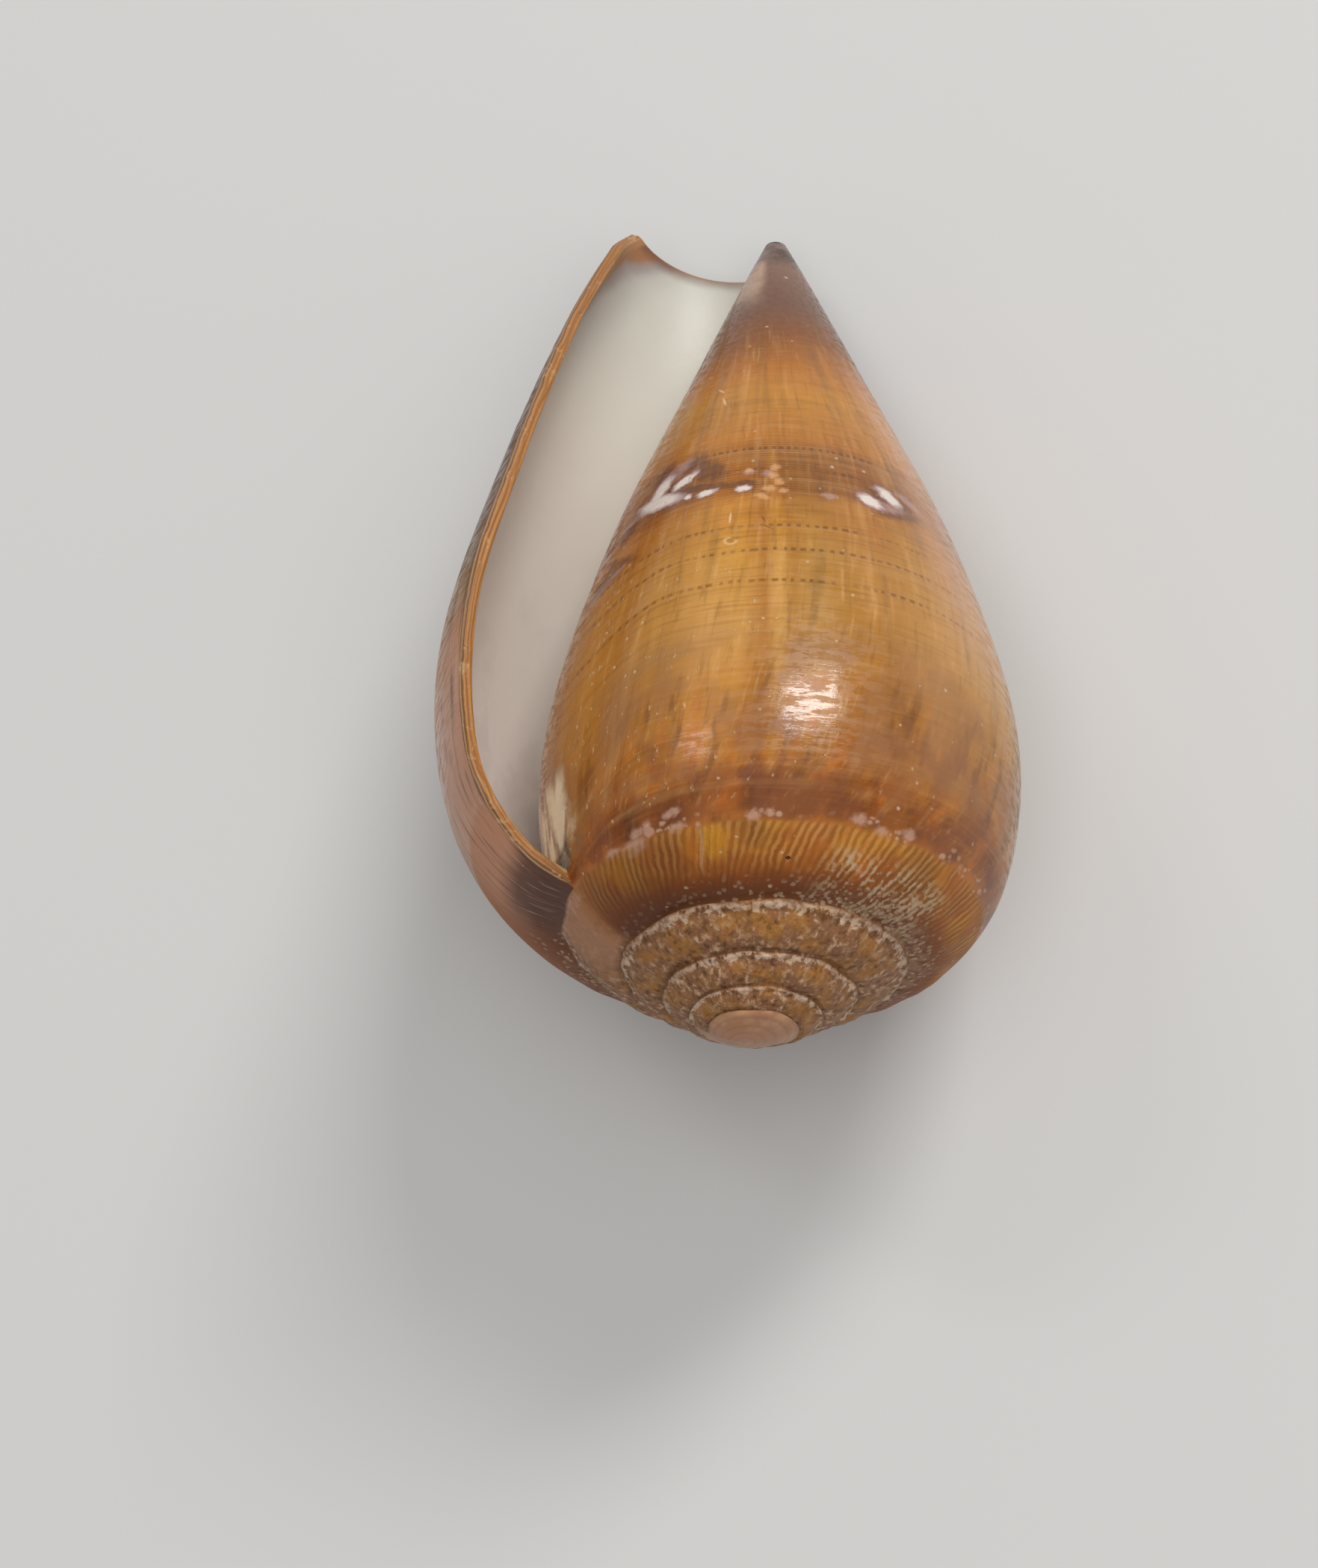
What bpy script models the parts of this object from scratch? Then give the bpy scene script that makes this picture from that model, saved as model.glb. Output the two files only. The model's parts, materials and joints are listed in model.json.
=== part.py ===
"""A cone shell, grown as one piece and lying on its side with its opening up.

The shell is drawn the way the animal laid it down. A turn is one whorl. At
every moment the growing edge has the same outline, and it gets larger by the
same ratio on each turn. Each whorl starts on the shoulder of the one before
and covers the rest of it, down to the shared tip.

Lengths are millimetres in the constants and metres in the scene.
"""

import math

import bmesh
import bpy
import numpy as np
from mathutils import Matrix, Vector

MM = 0.001

# Growth: how much larger each turn is, and a little extra just before the lip.
GROWTH = 1.48
LAST_SPURT = 0.07
SPURT_TURNS = 0.5

# The outline of the last whorl at the lip: how far each point lies from the
# peak of the spire along the shell, and its radius. On the side, a third value
# says how far the lip flares beyond that radius.
LENGTH = 60.0
SHOULDER = (12.4, 17.3)
WIDEST = (16.6, 19.3)
SIDE = ((24.0, 20.2, 0), (36.0, 15.8, 2.1), (48.2, 8.5, 6.0), (57.0, 3.0, 8.4), (LENGTH, 1.05, 9.7))
RAMP_BULGE = 0.94
FLARE_TURNS = 0.25
TIP_ROUND = 0.35

# The notch at the tip, where the siphon came out. Its edge is open from the
# lip back to NOTCH_TURNS, where the wall closes onto the column in the middle.
NOTCH_DEPTH = 4.2
NOTCH_TURNS = 0.21

# The lip's edge leans back towards the tip, and bows forward in the middle.
LIP_LEAN = 0.049
LIP_BOW = 0.027

# The wall: thin at the lip, thick round the last whorl, and worn thin inside,
# where the animal took away what the later whorl covers. Towards the tip it
# closes onto the whorl before, between these two row numbers.
LIP_WALL = 0.8
WALL = 2.0
INNER_WALL = 0.5
WALL_TURNS = 0.14
CAVITY_TURNS = 3.1
CLOSED_FROM = 5.6
CLOSED_AT = 7

# The worn top of the spire: a low dome over what is left of the first whorls.
TOP_TURNS = 4.1
TOP_RISE = 0.9

# How fine the mesh is. A column is one moment of growth, counted back from the
# lip. Row numbers run from the suture, 0, over the ramp to the shoulder, 2,
# and down the side to the tip, 8.
COLUMNS = 40
ROW_NUMBERS = (0, 0.67, 1.33, 2, 2.5, 3, 3.5, 4, 4.5, 5, 5.5, 6, 6.5, 7, 7.5, 8)
SHOULDER_ROW = ROW_NUMBERS.index(2)
ROOT_ROW = ROW_NUMBERS.index(3)
CLOSED_ROW = ROW_NUMBERS.index(CLOSED_AT)
TIP_ROW = len(ROW_NUMBERS) - 1
CLOSED_COLUMN = round((NOTCH_TURNS - LIP_LEAN) * COLUMNS)
DEEP_COLUMN = round(CAVITY_TURNS * COLUMNS)
TOP_COLUMN = round(TOP_TURNS * COLUMNS)

# How it rests: the slope of its long axis, and its turn about that axis. It
# stands on one facet, whose corners are level once those within SEAT of the
# lowest are brought down to it.
AXIS_SLOPE = 19.9
AXIS_TURN = 142.5
SEAT = 0.02


def ease(x, start, end):
    """0 before start, 1 after end, and a smooth step between."""
    x = np.clip((x - start) / (end - start), 0, 1)
    return x * x * (3 - 2 * x)


def scale_at(turn):
    """Size of the growing edge at this turn, where 0 is the lip and -1 a whorl earlier."""
    spurt = LAST_SPURT * SPURT_TURNS * (math.exp(min(turn, 0) / SPURT_TURNS) - 1)
    return math.exp(math.log(GROWTH) * turn + spurt)


def outline(turn):
    """The growing edge at this turn, as (distance along the shell, radius) points."""
    size, before = scale_at(turn), scale_at(turn - 1)
    flare = ease(turn, -FLARE_TURNS, 0)
    notch = NOTCH_DEPTH * ease(turn, -1.3 * NOTCH_TURNS, -0.9 * NOTCH_TURNS)
    notch *= 1 - ease(turn, -1.4 * NOTCH_TURNS, 0)
    tip = LENGTH - notch
    suture = (before * SHOULDER[0], before * SHOULDER[1])
    shoulder = (size * SHOULDER[0], size * SHOULDER[1])
    ramp = (
        (suture[0] + shoulder[0]) / 2 - size * RAMP_BULGE,
        (suture[1] + shoulder[1]) / 2,
    )
    top = size * WIDEST[0]
    points = [suture, ramp, shoulder, (top, size * WIDEST[1])]
    for along, radius, extra in SIDE:
        share = (along - WIDEST[0]) / (LENGTH - WIDEST[0])
        points.append((top + (tip - top) * share, size * radius + extra * flare))
    return np.array(points)


def curve_through(points, row):
    """The point at this row number on a smooth curve through the outline's points."""
    steps = np.diff(points, axis=0)
    gaps = np.sqrt(np.linalg.norm(steps, axis=1))
    slopes = steps / gaps[:, None]
    tangents = np.empty_like(points)
    tangents[1:-1] = (slopes[:-1] * gaps[1:, None] + slopes[1:] * gaps[:-1, None]) / (
        gaps[1:] + gaps[:-1]
    )[:, None]
    tangents[0] = 1.5 * slopes[0] - 0.5 * tangents[1]
    tangents[-1] = 1.5 * slopes[-1] - 0.5 * tangents[-2]
    k = min(int(row), len(points) - 2)
    f = row - k
    return (
        (2 * f**3 - 3 * f**2 + 1) * points[k]
        + (f**3 - 2 * f**2 + f) * gaps[k] * tangents[k]
        + (3 * f**2 - 2 * f**3) * points[k + 1]
        + (f**3 - f**2) * gaps[k] * tangents[k + 1]
    )


def lip_turn(turn, row):
    """When this row grew. The lip leans, so its ends are laid down before its middle."""
    down = min(max((row - 2) / 6, 0), 1)
    return turn - LIP_LEAN * down**3 + LIP_BOW * 16 * (down * (1 - down)) ** 2


def outside(turn, row):
    """A point of the outer surface. The shell's peak is the origin, and its tip is down -Z."""
    turn = lip_turn(turn, row)
    along, radius = curve_through(outline(turn), row)
    angle = -math.tau * turn
    return Vector((radius * math.cos(angle), radius * math.sin(angle), -along))


def inside(turn, row):
    """A point of the wall's inner surface, opposite a point of the outer one."""
    if row < 2:
        row = 0.5 + 0.75 * row
    point, below = outside(turn, row), outside(turn - 1, row)
    across = outside(turn, min(row + 0.3, 8)) - outside(turn, row - 0.3)
    ahead = outside(turn + 0.002, row) - outside(turn - 0.002, row)
    gap = below - point
    inward = across.cross(ahead).normalized().lerp(gap.normalized(), float(ease(row, 4, 5.5)))
    wall = LIP_WALL + (WALL * scale_at(turn) - LIP_WALL) * ease(-turn, 0, WALL_TURNS)
    wall += (INNER_WALL - wall) * ease(-turn, 0.85, 1.15)
    wall = min(wall, 0.6 * gap.length) if row > 4 else wall
    closed = ease(row, CLOSED_FROM, CLOSED_AT)
    closed *= ease(-lip_turn(turn, row), 0.8 * NOTCH_TURNS, NOTCH_TURNS)
    return point + inward.normalized() * float(wall + (gap.length - wall) * closed)


class Skin:
    """The shell's surface while it is made: corners by column and row, made when first used."""

    def __init__(self):
        self.mesh = bmesh.new()
        self.corners = {}

    def corner(self, key, place):
        if key not in self.corners:
            self.corners[key] = self.mesh.verts.new(place * MM)
        return self.corners[key]

    def outer(self, column, row):
        """A corner of the outer surface. Each suture lies on the shoulder of the whorl before."""
        if row == 0:
            column, row = column + COLUMNS, SHOULDER_ROW
        place = outside(-column / COLUMNS, ROW_NUMBERS[row])
        return self.corner(("outer", column, row), place)

    def inner(self, column, row):
        """A corner of the inner surface. The wall is rooted on the whorl before, and ends on it."""
        if row == 0:
            return self.outer(column + COLUMNS, ROOT_ROW)
        if column >= CLOSED_COLUMN and row >= CLOSED_ROW:
            return self.outer(column + COLUMNS, row)
        place = inside(-column / COLUMNS, ROW_NUMBERS[row])
        return self.corner(("inner", column, row), place)

    def face(self, *corners):
        self.mesh.faces.new(list(dict.fromkeys(corners)))

    def sheet(self, side, columns, rows):
        """Faces of one surface, over these columns and rows."""
        for column in columns:
            for row in rows:
                self.face(
                    side(column, row),
                    side(column, row + 1),
                    side(column + 1, row + 1),
                    side(column + 1, row),
                )


def add_whorls(skin):
    """The last whorl, the spire above it and, inside the opening, the whorl before."""
    skin.sheet(skin.outer, range(COLUMNS), range(TIP_ROW))
    skin.sheet(skin.outer, range(COLUMNS, TOP_COLUMN), range(SHOULDER_ROW))
    open_end = COLUMNS + CLOSED_COLUMN
    skin.sheet(skin.outer, range(COLUMNS, open_end), range(ROOT_ROW, TIP_ROW))
    deep_end = COLUMNS + DEEP_COLUMN
    skin.sheet(skin.outer, range(open_end, deep_end), range(ROOT_ROW, CLOSED_ROW))


def add_lining(skin):
    """The inside of the wall, and the wall that shuts the space off deep inside."""
    skin.sheet(skin.inner, range(CLOSED_COLUMN), range(TIP_ROW))
    skin.sheet(skin.inner, range(CLOSED_COLUMN, DEEP_COLUMN), range(CLOSED_ROW))
    below = DEEP_COLUMN + COLUMNS
    skin.face(*(skin.inner(DEEP_COLUMN, row) for row in range(ROOT_ROW + 1)))
    for row in range(ROOT_ROW, CLOSED_ROW):
        skin.face(
            skin.inner(DEEP_COLUMN, row),
            skin.inner(DEEP_COLUMN, row + 1),
            skin.outer(below, row + 1),
            skin.outer(below, row),
        )


def add_edges(skin):
    """The lip's edge and the notch's, which join the outer surface to the inner one."""
    root = [skin.outer(COLUMNS, row) for row in range(ROOT_ROW, SHOULDER_ROW, -1)]
    skin.face(skin.outer(0, 0), skin.outer(0, 1), skin.inner(0, 1), *root)
    for row in range(1, TIP_ROW):
        skin.face(
            skin.outer(0, row),
            skin.outer(0, row + 1),
            skin.inner(0, row + 1),
            skin.inner(0, row),
        )
    for column in range(CLOSED_COLUMN):
        skin.face(
            skin.outer(column, TIP_ROW),
            skin.outer(column + 1, TIP_ROW),
            skin.inner(column + 1, TIP_ROW),
            skin.inner(column, TIP_ROW),
        )


def add_ends(skin):
    """The rounded tip, and the worn top of the spire."""
    tip = skin.corner("tip", Vector((0, 0, -LENGTH - TIP_ROUND)))
    ring = [
        skin.outer(column, TIP_ROW)
        for column in range(CLOSED_COLUMN, COLUMNS + CLOSED_COLUMN + 1)
    ]
    for corner, following in zip(ring, ring[1:] + ring[:1]):
        skin.face(corner, following, tip)
    foot = [skin.outer(column, 0) for column in range(TOP_COLUMN - COLUMNS, TOP_COLUMN + 1)]
    foot += [skin.outer(TOP_COLUMN, row) for row in range(1, SHOULDER_ROW)]
    middle = sum((corner.co for corner in foot), Vector()) / len(foot) / MM
    top = skin.corner("top", middle + Vector((0, 0, TOP_RISE)))
    halfway = []
    for number, corner in enumerate(foot):
        place = (corner.co / MM).lerp(middle, 0.5) + Vector((0, 0, 0.75 * TOP_RISE))
        halfway.append(skin.corner(("dome", number), place))
    around = range(-1, len(foot) - 1)
    for number in around:
        skin.face(foot[number], foot[number + 1], halfway[number + 1], halfway[number])
        skin.face(halfway[number], halfway[number + 1], top)


def make_shell():
    skin = Skin()
    add_whorls(skin)
    add_lining(skin)
    add_edges(skin)
    add_ends(skin)
    bmesh.ops.recalc_face_normals(skin.mesh, faces=skin.mesh.faces)
    mesh = bpy.data.meshes.new("shell")
    skin.mesh.to_mesh(mesh)
    skin.mesh.free()
    mesh.shade_smooth()
    shell = bpy.data.objects.new("shell", mesh)
    bpy.context.scene.collection.objects.link(shell)
    return shell


def lay_down(shell):
    """Lays the shell as it rests: its peak towards -Y and raised, its opening up and to the left."""
    turn = Matrix.Rotation(math.radians(90 - AXIS_SLOPE), 4, "X")
    turn @= Matrix.Rotation(math.radians(AXIS_TURN), 4, "Z")
    shell.data.transform(turn)
    corners = np.array([vertex.co for vertex in shell.data.vertices])
    low, high = corners.min(axis=0), corners.max(axis=0)
    for vertex in shell.data.vertices:
        if vertex.co.z < low[2] + SEAT * MM:
            vertex.co.z = low[2]
    shell.location = (-(low[0] + high[0]) / 2, -(low[1] + high[1]) / 2, -low[2])


def give_material(shell):
    material = bpy.data.materials.new("shell")
    material.use_nodes = True
    surface = material.node_tree.nodes["Principled BSDF"]
    surface.inputs["Base Color"].default_value = (0.42, 0.22, 0.09, 1)
    surface.inputs["Roughness"].default_value = 0.35
    surface.inputs["Metallic"].default_value = 0
    shell.data.materials.append(material)


def main():
    for old in list(bpy.data.objects):
        bpy.data.objects.remove(old)
    shell = make_shell()
    lay_down(shell)
    give_material(shell)


main()
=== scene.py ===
"""A worn cone shell on a pale floor, lying on its side with its opening up."""

import json
import math

import bmesh
import bpy
import numpy as np
from mathutils import Matrix, Vector, noise

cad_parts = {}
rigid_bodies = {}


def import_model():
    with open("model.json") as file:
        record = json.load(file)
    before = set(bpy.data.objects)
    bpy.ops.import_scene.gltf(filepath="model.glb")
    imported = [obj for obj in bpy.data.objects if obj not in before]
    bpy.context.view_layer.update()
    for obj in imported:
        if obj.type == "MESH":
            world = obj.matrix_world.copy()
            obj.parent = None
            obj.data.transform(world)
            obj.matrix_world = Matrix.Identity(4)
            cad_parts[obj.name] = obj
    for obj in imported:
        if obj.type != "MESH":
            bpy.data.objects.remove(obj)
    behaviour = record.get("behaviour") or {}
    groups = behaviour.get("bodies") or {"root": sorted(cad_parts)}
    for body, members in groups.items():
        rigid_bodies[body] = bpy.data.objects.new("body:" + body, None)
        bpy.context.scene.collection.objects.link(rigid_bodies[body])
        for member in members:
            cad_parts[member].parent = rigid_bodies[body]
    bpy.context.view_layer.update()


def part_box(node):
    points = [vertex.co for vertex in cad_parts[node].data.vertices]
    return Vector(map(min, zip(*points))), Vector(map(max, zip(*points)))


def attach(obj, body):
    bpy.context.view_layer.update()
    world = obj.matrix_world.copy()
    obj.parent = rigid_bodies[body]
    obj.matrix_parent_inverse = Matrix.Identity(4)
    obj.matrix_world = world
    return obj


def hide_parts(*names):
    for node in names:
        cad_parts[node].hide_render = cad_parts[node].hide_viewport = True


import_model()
for thing in bpy.data.objects:
    thing.select_set(False)


# The shell itself. It is one piece of aragonite that the animal laid down in
# turns round its axis, each whorl rooted on the shoulder of the one before.
# No primitive has this form, so it is drawn the way it grew. Lengths here are
# millimetres; a turn counts back from the lip, and a row number runs from the
# suture, 0, over the shoulder, 2, and down the side to the tip, 8.

MM = 0.001

# Each turn is GROWTH times the one before, with a spurt over the last half turn.
# The last whorl's shoulder, its widest place and the points down its side are
# (distance from the peak, radius), and for the side what the lip flares by.
GROWTH = 1.48
SPURT = 0.035
SPURT_TURNS = 0.5
LENGTH = 60.0
SHOULDER = (12.4, 17.3)
WIDEST = (16.6, 19.3)
SIDE = ((24.0, 20.2, 0), (36.0, 15.8, 2.1), (48.2, 8.5, 6.0), (57.0, 3.0, 8.4), (LENGTH, 1.05, 9.7))
RAMP_BULGE = 0.94
FLARE_TURNS = 0.25

# The notch at the tip. Its edge is open from the lip back to NOTCH_TURNS.
NOTCH_DEPTH = 5.4
NOTCH_TURNS = 0.21

# The lip's edge leans back towards the tip, and bows forward in the middle.
LIP_LEAN = 0.049
LIP_BOW = 0.027

# The wall: thin at the lip, thick from WALL_TURNS back, and thin inside. Its inner
# surface starts at row ROOT of the whorl before, or ROOT_RISE nearer the shoulder at
# the lip, and is clear of that whorl from FREE_ROW on. Towards the tip it closes onto
# the whorl before, from row CLOSED_FROM to row CLOSED.
LIP_WALL = 0.8
WALL = 2.0
INNER_WALL = 0.5
WALL_TURNS = 0.14
ROOT = 3
ROOT_RISE = 0.6
FREE_ROW = 0.67
CLOSED_FROM = 5.6
CLOSED = 7

# How far back the lining goes, and where the worn top of the spire starts.
SPACE_TURNS = 0.55
TOP_TURNS = 4.1
TOP_RISE = 0.9

# The mesh has this many columns a turn.
COLUMNS = 240


def ease(x, start, end):
    """0 before start, 1 after end, and a smooth step between."""
    x = np.clip((x - start) / (end - start), 0, 1)
    return x * x * (3 - 2 * x)


def grown(turn):
    """How large the growing edge was, this many turns from the lip (turn is below 0)."""
    spurt = SPURT * (np.exp(np.minimum(turn, 0) / SPURT_TURNS) - 1)
    return np.exp(math.log(GROWTH) * turn + spurt)


def growing_edge(turn):
    """Nine points, as (distance along the shell, radius), of the edge at each of these turns."""
    size, before = grown(turn), grown(turn - 1)
    flare = ease(turn, -FLARE_TURNS, 0)
    notch = NOTCH_DEPTH * ease(turn, -1.3 * NOTCH_TURNS, -0.9 * NOTCH_TURNS)
    tip = LENGTH - notch * (1 - ease(turn, -1.4 * NOTCH_TURNS, 0))
    suture = (before * SHOULDER[0], before * SHOULDER[1])
    shoulder = (size * SHOULDER[0], size * SHOULDER[1])
    ramp = ((suture[0] + shoulder[0]) / 2 - size * RAMP_BULGE, (suture[1] + shoulder[1]) / 2)
    top = size * WIDEST[0]
    points = [suture, ramp, shoulder, (top, size * WIDEST[1])]
    for along, radius, extra in SIDE:
        share = (along - WIDEST[0]) / (LENGTH - WIDEST[0])
        points.append((top + (tip - top) * share, size * radius + extra * flare))
    return np.stack([np.stack(point, axis=-1) for point in points], axis=-2)


def curve_through(points, row):
    """The points at these row numbers on smooth curves through the edge's nine points."""
    steps = np.diff(points, axis=-2)
    gaps = np.sqrt(np.linalg.norm(steps, axis=-1))[..., None]
    slopes = steps / gaps
    tangents = np.empty_like(points)
    inner = slopes[..., :-1, :] * gaps[..., 1:, :] + slopes[..., 1:, :] * gaps[..., :-1, :]
    tangents[..., 1:-1, :] = inner / (gaps[..., 1:, :] + gaps[..., :-1, :])
    tangents[..., 0, :] = 1.5 * slopes[..., 0, :] - 0.5 * tangents[..., 1, :]
    tangents[..., -1, :] = 1.5 * slopes[..., -1, :] - 0.5 * tangents[..., -2, :]
    k = np.minimum(row.astype(int), 7)
    f = (row - k)[..., None]

    def at(values, index):
        return np.take_along_axis(values, index[..., None, None], axis=-2)[..., 0, :]

    gap = at(gaps, k)
    return (
        (2 * f**3 - 3 * f**2 + 1) * at(points, k)
        + (f**3 - 2 * f**2 + f) * gap * at(tangents, k)
        + (3 * f**2 - 2 * f**3) * at(points, k + 1)
        + (f**3 - f**2) * gap * at(tangents, k + 1)
    )


def grown_when(turn, row):
    """When this row grew. The lip leans, so its ends are laid down before its middle."""
    down = np.clip((row - 2) / 6, 0, 1)
    return turn - LIP_LEAN * down**3 + LIP_BOW * 16 * (down * (1 - down)) ** 2


def outside(turn, row):
    """Points of the smooth outer surface, with the peak at the origin and the tip down -Z."""
    turn, row = np.broadcast_arrays(turn, row)
    turn = grown_when(turn, row)
    edge = curve_through(growing_edge(turn), row)
    angle = -math.tau * turn
    return np.stack(
        [edge[..., 1] * np.cos(angle), edge[..., 1] * np.sin(angle), -edge[..., 0]], axis=-1
    )


def unit(vectors):
    """The same directions, each 1 long."""
    return vectors / np.maximum(np.linalg.norm(vectors, axis=-1, keepdims=True), 1e-9)


def inwards(turn, row):
    """The direction from the outer surface into the wall."""
    across = outside(turn, np.minimum(row + 0.3, 8)) - outside(turn, np.maximum(row - 0.3, 0))
    ahead = outside(turn + 0.002, row) - outside(turn - 0.002, row)
    return unit(np.cross(across, ahead))


def inside(turn, row):
    """Points of the wall's inner surface, which starts at the root on the whorl before."""
    turn, row = np.broadcast_arrays(turn, row)
    root = outside(turn - 1, ROOT - ROOT_RISE * (1 - ease(-turn, 0, WALL_TURNS)))
    start = row
    row = np.where(row < 2, 0.5 + 0.75 * np.maximum(row, FREE_ROW), row)
    point, below = outside(turn, row), outside(turn - 1, row)
    gap = below - point
    width = np.linalg.norm(gap, axis=-1)
    blend = ease(row, 4, 5.5)[..., None]
    inward = unit(inwards(turn, row) * (1 - blend) + unit(gap) * blend)
    wall = LIP_WALL + (WALL * grown(turn) - LIP_WALL) * ease(-turn, 0, WALL_TURNS)
    wall = wall + (INNER_WALL - wall) * ease(-turn, 0.85, 1.15)
    wall = np.where(row > 4, np.minimum(wall, 0.6 * width), wall)
    closed = ease(row, CLOSED_FROM, CLOSED)
    closed = closed * ease(-grown_when(turn, row), 0.8 * NOTCH_TURNS, NOTCH_TURNS)
    wall = (wall + (width - wall) * closed)[..., None]
    place = point + inward * wall
    share = np.clip(start / FREE_ROW, 0, 1)[..., None]
    return root + (place - root) * share


def rumple(places, size, seed):
    """Smooth noise from -1 to 1 at these places, with features this many millimetres across."""
    flat = places.reshape(-1, 3) / size + seed
    values = [noise.noise(Vector(place)) for place in flat]
    return np.array(values).reshape(places.shape[:-1])


def worn_relief(turn, row, places):
    """How far the real surface stands above the smooth one, in millimetres."""
    back = -turn
    covered = ease(back, 0.97, 1.06)
    grit = rumple(places, 0.5, 3.1)
    slow = rumple(places, 2.6, 7.7)
    on_ramp = 1 - ease(row, 1.75, 2.0)
    row = row + 0.05 * slow
    groove = np.exp(-(((row - 0.12) / 0.1) ** 2))
    thread = covered * ease(row, 1.66, 1.8) * (1 - ease(row, 1.98, 2.12))
    relief = -(0.08 - 0.02 * covered + 0.05 * slow) * groove
    relief += (0.1 + 0.1 * grit + 0.04 * slow) * thread
    relief += covered * on_ramp * (0.07 * grit + 0.08 * slow)
    relief += 0.02 * slow
    bare = ease(back, 0.985, 1.005) * ease(row, 2.3, 2.6) * (1 - ease(row, 3.2, 3.5))
    relief -= 0.2 * bare
    return relief * (1 - ease(back, 2.8, 3.1) * (row < 0.5))


def down_the_side(row):
    """How far this row lies from the suture along the last whorl, in millimetres."""
    path = outside(-0.85, np.linspace(0, 8, 161))
    lengths = np.linalg.norm(np.diff(path, axis=0), axis=-1)
    return np.interp(row, np.linspace(0, 8, 161), np.append(0, np.cumsum(lengths)))


def row_numbers():
    """The mesh's rows: close together at the suture, at the shoulder and on the ramp."""
    ramp = np.concatenate([np.linspace(0, 0.5, 11)[:-1], np.linspace(0.5, 1.7, 15)[:-1]])
    ramp = np.concatenate([ramp, np.linspace(1.7, 2, 7)[:-1]])
    side = np.concatenate([np.linspace(2, 3, 17)[:-1], np.linspace(3, 5, 35)[:-1]])
    side = np.concatenate([side, np.linspace(5, 8, 49)])
    return np.concatenate([ramp, side])


rows = row_numbers()
last_row = len(rows) - 1
shoulder_row = int(np.argmin(abs(rows - 2)))
root_row = int(np.argmin(abs(rows - ROOT)))
across_lip = root_row - shoulder_row
top_column = round(TOP_TURNS * COLUMNS)
deep_column = round(SPACE_TURNS * COLUMNS)

# The outer surface's grid. Only the last two turns show their side. The lip's root
# climbs there, the worn relief stands on it, and the oldest whorls are worn uneven.
columns = np.arange(top_column + COLUMNS + 1)
turn_grid, row_grid = np.meshgrid(-columns / COLUMNS, rows, indexing="ij")
at_root = ease(turn_grid, -1.14, -1) * (1 - ease(turn_grid, -1, -0.9))
row_grid -= ROOT_RISE * at_root * np.interp(row_grid, (2, 3, 5), (0, 1, 0))
outer_places = np.zeros(turn_grid.shape + (3,))
needed = (turn_grid > -2.0) | (row_grid <= 2.0)
turn_used, row_used = turn_grid[needed], row_grid[needed]
smooth = outside(turn_used, row_used)
inward = inwards(turn_used, row_used)
relief = worn_relief(turn_used, row_used, smooth)
outer_places[needed] = smooth - inward * relief[:, None]
radius = np.linalg.norm(outer_places[..., :2], axis=-1)
worn = (1 - ease(radius, 12, 14)) * ease(outer_places[..., 2], -13, -10) * 0.16
drift = [rumple(outer_places, 2.0, seed) for seed in (11.1, 12.2, 13.3)]
outer_places += worn[..., None] * np.stack(drift, axis=-1)

inner_columns = np.arange(deep_column + 1)
turn_in, row_in = np.meshgrid(-inner_columns / COLUMNS, rows, indexing="ij")
inner_places = inside(turn_in, row_in)

# The corners' numbers. A suture shares the corners of the shoulder one turn before,
# and the lining those of its root and of where it has met the whorl before.
outer_id = np.arange(outer_places[..., 0].size).reshape(outer_places.shape[:2])
outer_id[:-COLUMNS, 0] = outer_id[COLUMNS:, shoulder_row]
inner_id = np.arange(inner_places[..., 0].size).reshape(inner_places.shape[:2]) + outer_id.size
met = (row_in >= CLOSED - 1e-9) & (-grown_when(turn_in, row_in) >= NOTCH_TURNS)
met[:, 0] = True
inner_id[:, 0] = outer_id[COLUMNS : COLUMNS + deep_column + 1, root_row]
behind = outer_id[COLUMNS : COLUMNS + deep_column + 1]
closed_part = met.copy()
closed_part[:, 0] = False
inner_id[closed_part] = behind[closed_part]
closed_column = int(np.argmax(closed_part[:, last_row]))

places = [outer_places.reshape(-1, 3), inner_places.reshape(-1, 3)]
faces, growth_map, finish = [], [], []
OUTSIDE, LIP, GLAZE = 0, 1, 2


def new_corners(points):
    """Adds corners at these points and gives their numbers."""
    start = sum(len(block) for block in places)
    places.append(points.reshape(-1, 3))
    return np.arange(start, start + points[..., 0].size).reshape(points.shape[:-1])


def four_corners(grid):
    """The four neighbours round each gap of a grid, in order."""
    return np.stack([grid[:-1, :-1], grid[:-1, 1:], grid[1:, 1:], grid[1:, :-1]], axis=2)


def add_sheet(ids, back, numbers, material, keep=None):
    """Four-sided faces between neighbouring corners, each with its turn and row number."""
    corners = four_corners(ids)
    grid = four_corners(np.stack(np.broadcast_arrays(back, numbers), axis=-1))
    if keep is None:
        keep = np.ones(corners.shape[:2], bool)
    for face, where in zip(corners[keep].tolist(), grid[keep].tolist()):
        kept = [i for i in range(4) if face[i] != face[i - 1]]
        faces.append([face[i] for i in kept])
        growth_map.extend(where[i] for i in kept)
        finish.append(material)


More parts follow.
